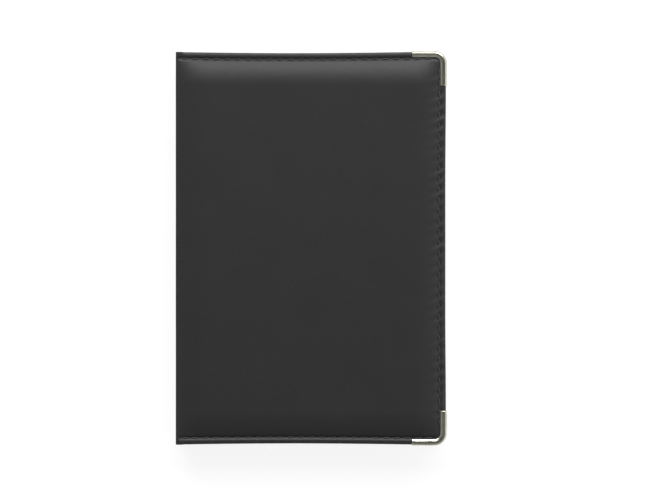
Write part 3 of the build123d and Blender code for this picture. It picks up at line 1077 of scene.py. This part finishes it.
flyleaf_level = (flyleaf_low.z + flyleaf_high.z) / 2
flyleaf_thickness = (flyleaf_high.z - flyleaf_low.z) * LEAF_FILL
fly_size = (flyleaf_thickness, page_edge, page_head)
*fly_shape, fly_uvs = leaf_solid(flyleaf_level, flyleaf_level, bound_edge, *fly_size)
for side, shape in both_halves(*fly_shape):
    flyleaf = make_piece(f"{side}_flyleaf_sheet", *shape, end_paper, fly_uvs)
    bend(flyleaf, side, (BEND_START, 0, 0), (BEND_END, 0, 0))
    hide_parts(f"{side}_flyleaf")
print("single leaves bend over", round((LEAF_BEND_END - BEND_START) / MM, 1), "mm")

# %% [markdown]
# The endpaper is one folded sheet: half is glued to the cover and half is the flyleaf. Where it
# crosses the joint it is a narrow strip that lies doubled up when the book is shut.

# %% Endpaper joints
JOINT_ROWS = 13
JOINT_LAP = 0.15 * MM  # how far the strip runs up beside the pastedown
JOINT_OUT, JOINT_IN = 0.02 * MM, 0.14 * MM  # its two faces, from the back of the block


def build_joint():
    """The strip between pastedown and flyleaf, shut: a thin upright sheet at the board's edge."""
    z = np.linspace(flyleaf_level, pastedown_low.z + JOINT_LAP, JOINT_ROWS)
    ends = ((-1, JOINT_IN), (1, JOINT_IN), (1, JOINT_OUT), (-1, JOINT_OUT))
    points, uvs = [], []
    for side, behind in ends:
        y = np.full(JOINT_ROWS, side * page_head)
        points.append(np.stack([np.full(JOINT_ROWS, bound_edge - behind), y, z], -1))
        uvs.append(np.stack([z, y], -1))
    faces = [face[::-1] for face in tube_faces(JOINT_ROWS, len(ends))]
    return np.stack(points, 1).reshape(-1, 3), faces, np.stack(uvs, 1).reshape(-1, 2)


joint_points, joint_faces, joint_uvs = build_joint()
joint_low = (bound_edge, 0, float(joint_points[:, 2].min()))
joint_high = (bound_edge, 0, float(joint_points[:, 2].max()))
joint_ends = {"front": (joint_low, joint_high), "back": (over(joint_low), over(joint_high))}
for side, shape in both_halves(joint_points, joint_faces):
    strip = make_piece(f"{side}_endpaper_joint", *shape, end_paper, joint_uvs)
    bend(strip, side, *joint_ends[side])
    print("made", strip.name)

# %% [markdown]
# ## Inside the spine
# Behind the leather of the spine is a strip of card, lined with cloth. A strip of gauze is glued
# over the folds, and linen thread sews each fold to it. Cloth drawn only by a bump has a flat
# outline, so the lining's weave is real relief, and the gauze is made of its own threads, each over
# one and under the next. These pieces are stiff, so their patterns can use the object's own space.

# %% Cloth and thread finishes
def woven_finish(name, pitch, color, shade):
    """Plain weave: threads one way are over where the others are under; the low places are darkened
    with painted shade.
    """
    finish = Finish(name, color, Roughness=0.95)
    where = finish.place("Object")
    _, y, z = finish.parts(where)
    warp = (y * (math.pi / pitch)).math("SINE")
    weft = (z * (math.pi / pitch)).math("SINE")
    weave = 0.5 + 0.5 * warp * weft
    # painted shade: the cloth is darker where the weave lies low
    dark = tuple(c * shade for c in color)
    finish.tint(weave, dark, color)
    finish.emboss(weave, 0.08 * MM)
    return finish.material


def weave_height(y, z, pitch):
    """Plain weave as a height from 0 to 1."""
    return 0.5 + 0.5 * np.sin(math.pi * y / pitch) * np.sin(math.pi * z / pitch)


def linen_finish():
    finish = Finish("linen_thread", (0.7, 0.66, 0.56), Roughness=0.7)
    strands = finish.grain(finish.place("Object"), 0.12 * MM, detail=3, stretch=(1, 0.3, 1))
    finish.tint(strands, (0.58, 0.54, 0.44), (0.76, 0.72, 0.62))
    finish.emboss(strands, 0.04 * MM)
    return finish.material


linen = linen_finish()

# %% [markdown]
# The lining is glued down, so it is a slab that is flat on one face.

# %% Spine lining
LINING_PITCH = 0.7 * MM
LINING_RELIEF = 0.12 * MM
POINTS_PER_THREAD = 2.5


def build_lining(low, high):
    """A slab of cloth: flat where it is glued, woven on the face towards the leaves."""
    count_y = round((high.y - low.y) / LINING_PITCH * POINTS_PER_THREAD)
    count_z = round((high.z - low.z) / LINING_PITCH * POINTS_PER_THREAD)
    ys, zs = np.linspace(low.y, high.y, count_y), np.linspace(low.z, high.z, count_z)
    y, z = np.meshgrid(ys, zs, indexing="ij")
    x = high.x - LINING_RELIEF * (1 - weave_height(y, z, LINING_PITCH))
    woven_face = np.stack([x, y, z], -1).reshape(-1, 3)
    glued_face = np.stack([np.full(y.shape, low.x), y, z], -1).reshape(-1, 3)
    return slab(woven_face, glued_face, *y.shape)


lining_low, lining_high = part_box("spine_cloth")
lining_weave = woven_finish("lining_weave", LINING_PITCH, (0.05, 0.05, 0.055), 0.5)
lining = make_piece("spine_lining", *build_lining(lining_low, lining_high), lining_weave)
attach(lining, "spine")
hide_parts("spine_cloth")

# %% [markdown]
# Gauze is mostly holes. A see-through material would look right from afar, but each thread is drawn
# as a tube here, since there are fewer than two hundred.

# %% Gauze
GAUZE_PITCH = 1.0 * MM
GAUZE_RADIUS = 0.075 * MM
GAUZE_SIDES = 6


def strand(line, side, radius):
    """A closed thread along a line of points, with rings across x and a sideways direction."""
    around = np.arange(GAUZE_SIDES) * 2 * math.pi / GAUZE_SIDES
    ring = radius * (np.outer(np.cos(around), (1, 0, 0)) + np.outer(np.sin(around), side))
    points = (line[:, None] + ring[None]).reshape(-1, 3)
    return points, tube_faces(len(line), GAUZE_SIDES)


def build_gauze(low, high):
    """Threads both ways, each over one and under the next."""
    middle_x, sway = (low.x + high.x) / 2, (high.x - low.x) / 2 - GAUZE_RADIUS
    places = {}
    for axis in (1, 2):
        count = math.floor((high[axis] - low[axis]) / GAUZE_PITCH)
        offsets = (np.arange(count) - (count - 1) / 2) * GAUZE_PITCH
        places[axis] = (low[axis] + high[axis]) / 2 + offsets
    strands = []
    for run, fixed, way, side in ((1, 2, 1, (0, 0, -1)), (2, 1, -1, (0, 1, 0))):
        for number, place in enumerate(places[fixed]):
            t = np.linspace(low[run], high[run], 4 * len(places[run]) + 1)
            line = np.full((len(t), 3), place)
            wave = math.pi * ((t - places[run][0]) / GAUZE_PITCH + number)
            line[:, 0], line[:, run] = middle_x + way * sway * np.cos(wave), t
            strands.append(strand(line, side, GAUZE_RADIUS))
    return strands


gauze_strands = build_gauze(*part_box("spine_gauze"))
gauze = make_piece("spine_gauze_net", *joined(gauze_strands), linen)
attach(gauze, "spine")
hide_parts("spine_gauze")
print("the gauze has", len(gauze_strands), "threads")

# %% [markdown]
# The glued half of the endpaper, the card and the sewing are flat or round shapes that CAD already
# has right. They keep their meshes and get finishes.

# %% Finish the pieces kept from CAD
kept = {"spine_card": grey_board, "spine_sewing": linen}
kept["front_board"] = kept["back_board"] = grey_board
rigid_paper = {"space": "Object", "cloud_size": 5 * MM, "shine": 0.5}
pasted_paper = paper_finish("pasted_paper", *END_PAPER_TONES, **rigid_paper)
kept["front_pastedown"] = kept["back_pastedown"] = pasted_paper
for name, material in kept.items():
    frame["nodes"][name].data.materials.clear()
    frame["nodes"][name].data.materials.append(material)
print("kept from CAD:", sorted(kept))

# %% [markdown]
# ## Head and tail bands
# A band is a cord wrapped in silk of two colours, glued across the ends of the folds. Its outline is
# a row of small wraps, so the wraps are modelled, and the colours change every few turns.

# %% Bands
WRAP = 0.42 * MM
WRAP_RELIEF = 0.09
RINGS_PER_WRAP, BAND_SIDES = 6, 14


def band_finish():
    finish = Finish("wrapped_silk", (0.3, 0.3, 0.32), Roughness=0.45)
    where = finish.place("Object")
    _, _, z = finish.parts(where)
    light = (z / (4 * WRAP)).math("FRACT") > 0.5
    strands = finish.grain(where, 0.1 * MM, detail=3)
    dark = finish.mix(strands, (0.015, 0.015, 0.017), (0.03, 0.03, 0.034))
    finish.tint(light, dark, (0.62, 0.6, 0.54))
    finish.emboss(strands, 0.02 * MM)
    return finish.material


def build_band(low, high):
    """A wrapped cord from one level to another, flat where it meets the leaves."""
    radius = (high.x - low.x) / 2
    centre_x, centre_y = (low.x + high.x) / 2, high.y - radius
    z = np.linspace(low.z, high.z, 1 + RINGS_PER_WRAP * round((high.z - low.z) / WRAP))
    around = np.arange(BAND_SIDES) * 2 * math.pi / BAND_SIDES
    levels, a = np.meshgrid(z, around, indexing="ij")
    wraps = 1 - WRAP_RELIEF * np.cos((levels - low.z) / WRAP * 2 * math.pi + a)
    x = centre_x + radius * wraps * np.cos(a)
    y = np.maximum(centre_y + radius * wraps * np.sin(a), low.y)
    points = np.stack([x, y, levels], -1).reshape(-1, 3)
    return points, tube_faces(*levels.shape)


silk = band_finish()
for end, shape in both_ends(*build_band(*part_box("spine_head_band"))):
    band = make_piece(f"{end}_band_wrapped", *shape, silk, crease_deg=70)
    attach(band, "spine")
    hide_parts(f"spine_{end}_band")
    print("made", band.name)

# %% [markdown]
# ## Finish
# The last cell prints this model's box, to set beside the CAD model's box printed at the start, so
# that a piece that has grown too far shows at once.

# %% Write the visual box
low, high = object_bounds()
print("visual box", [round(1000 * side, 2) for side in high - low], "mm")
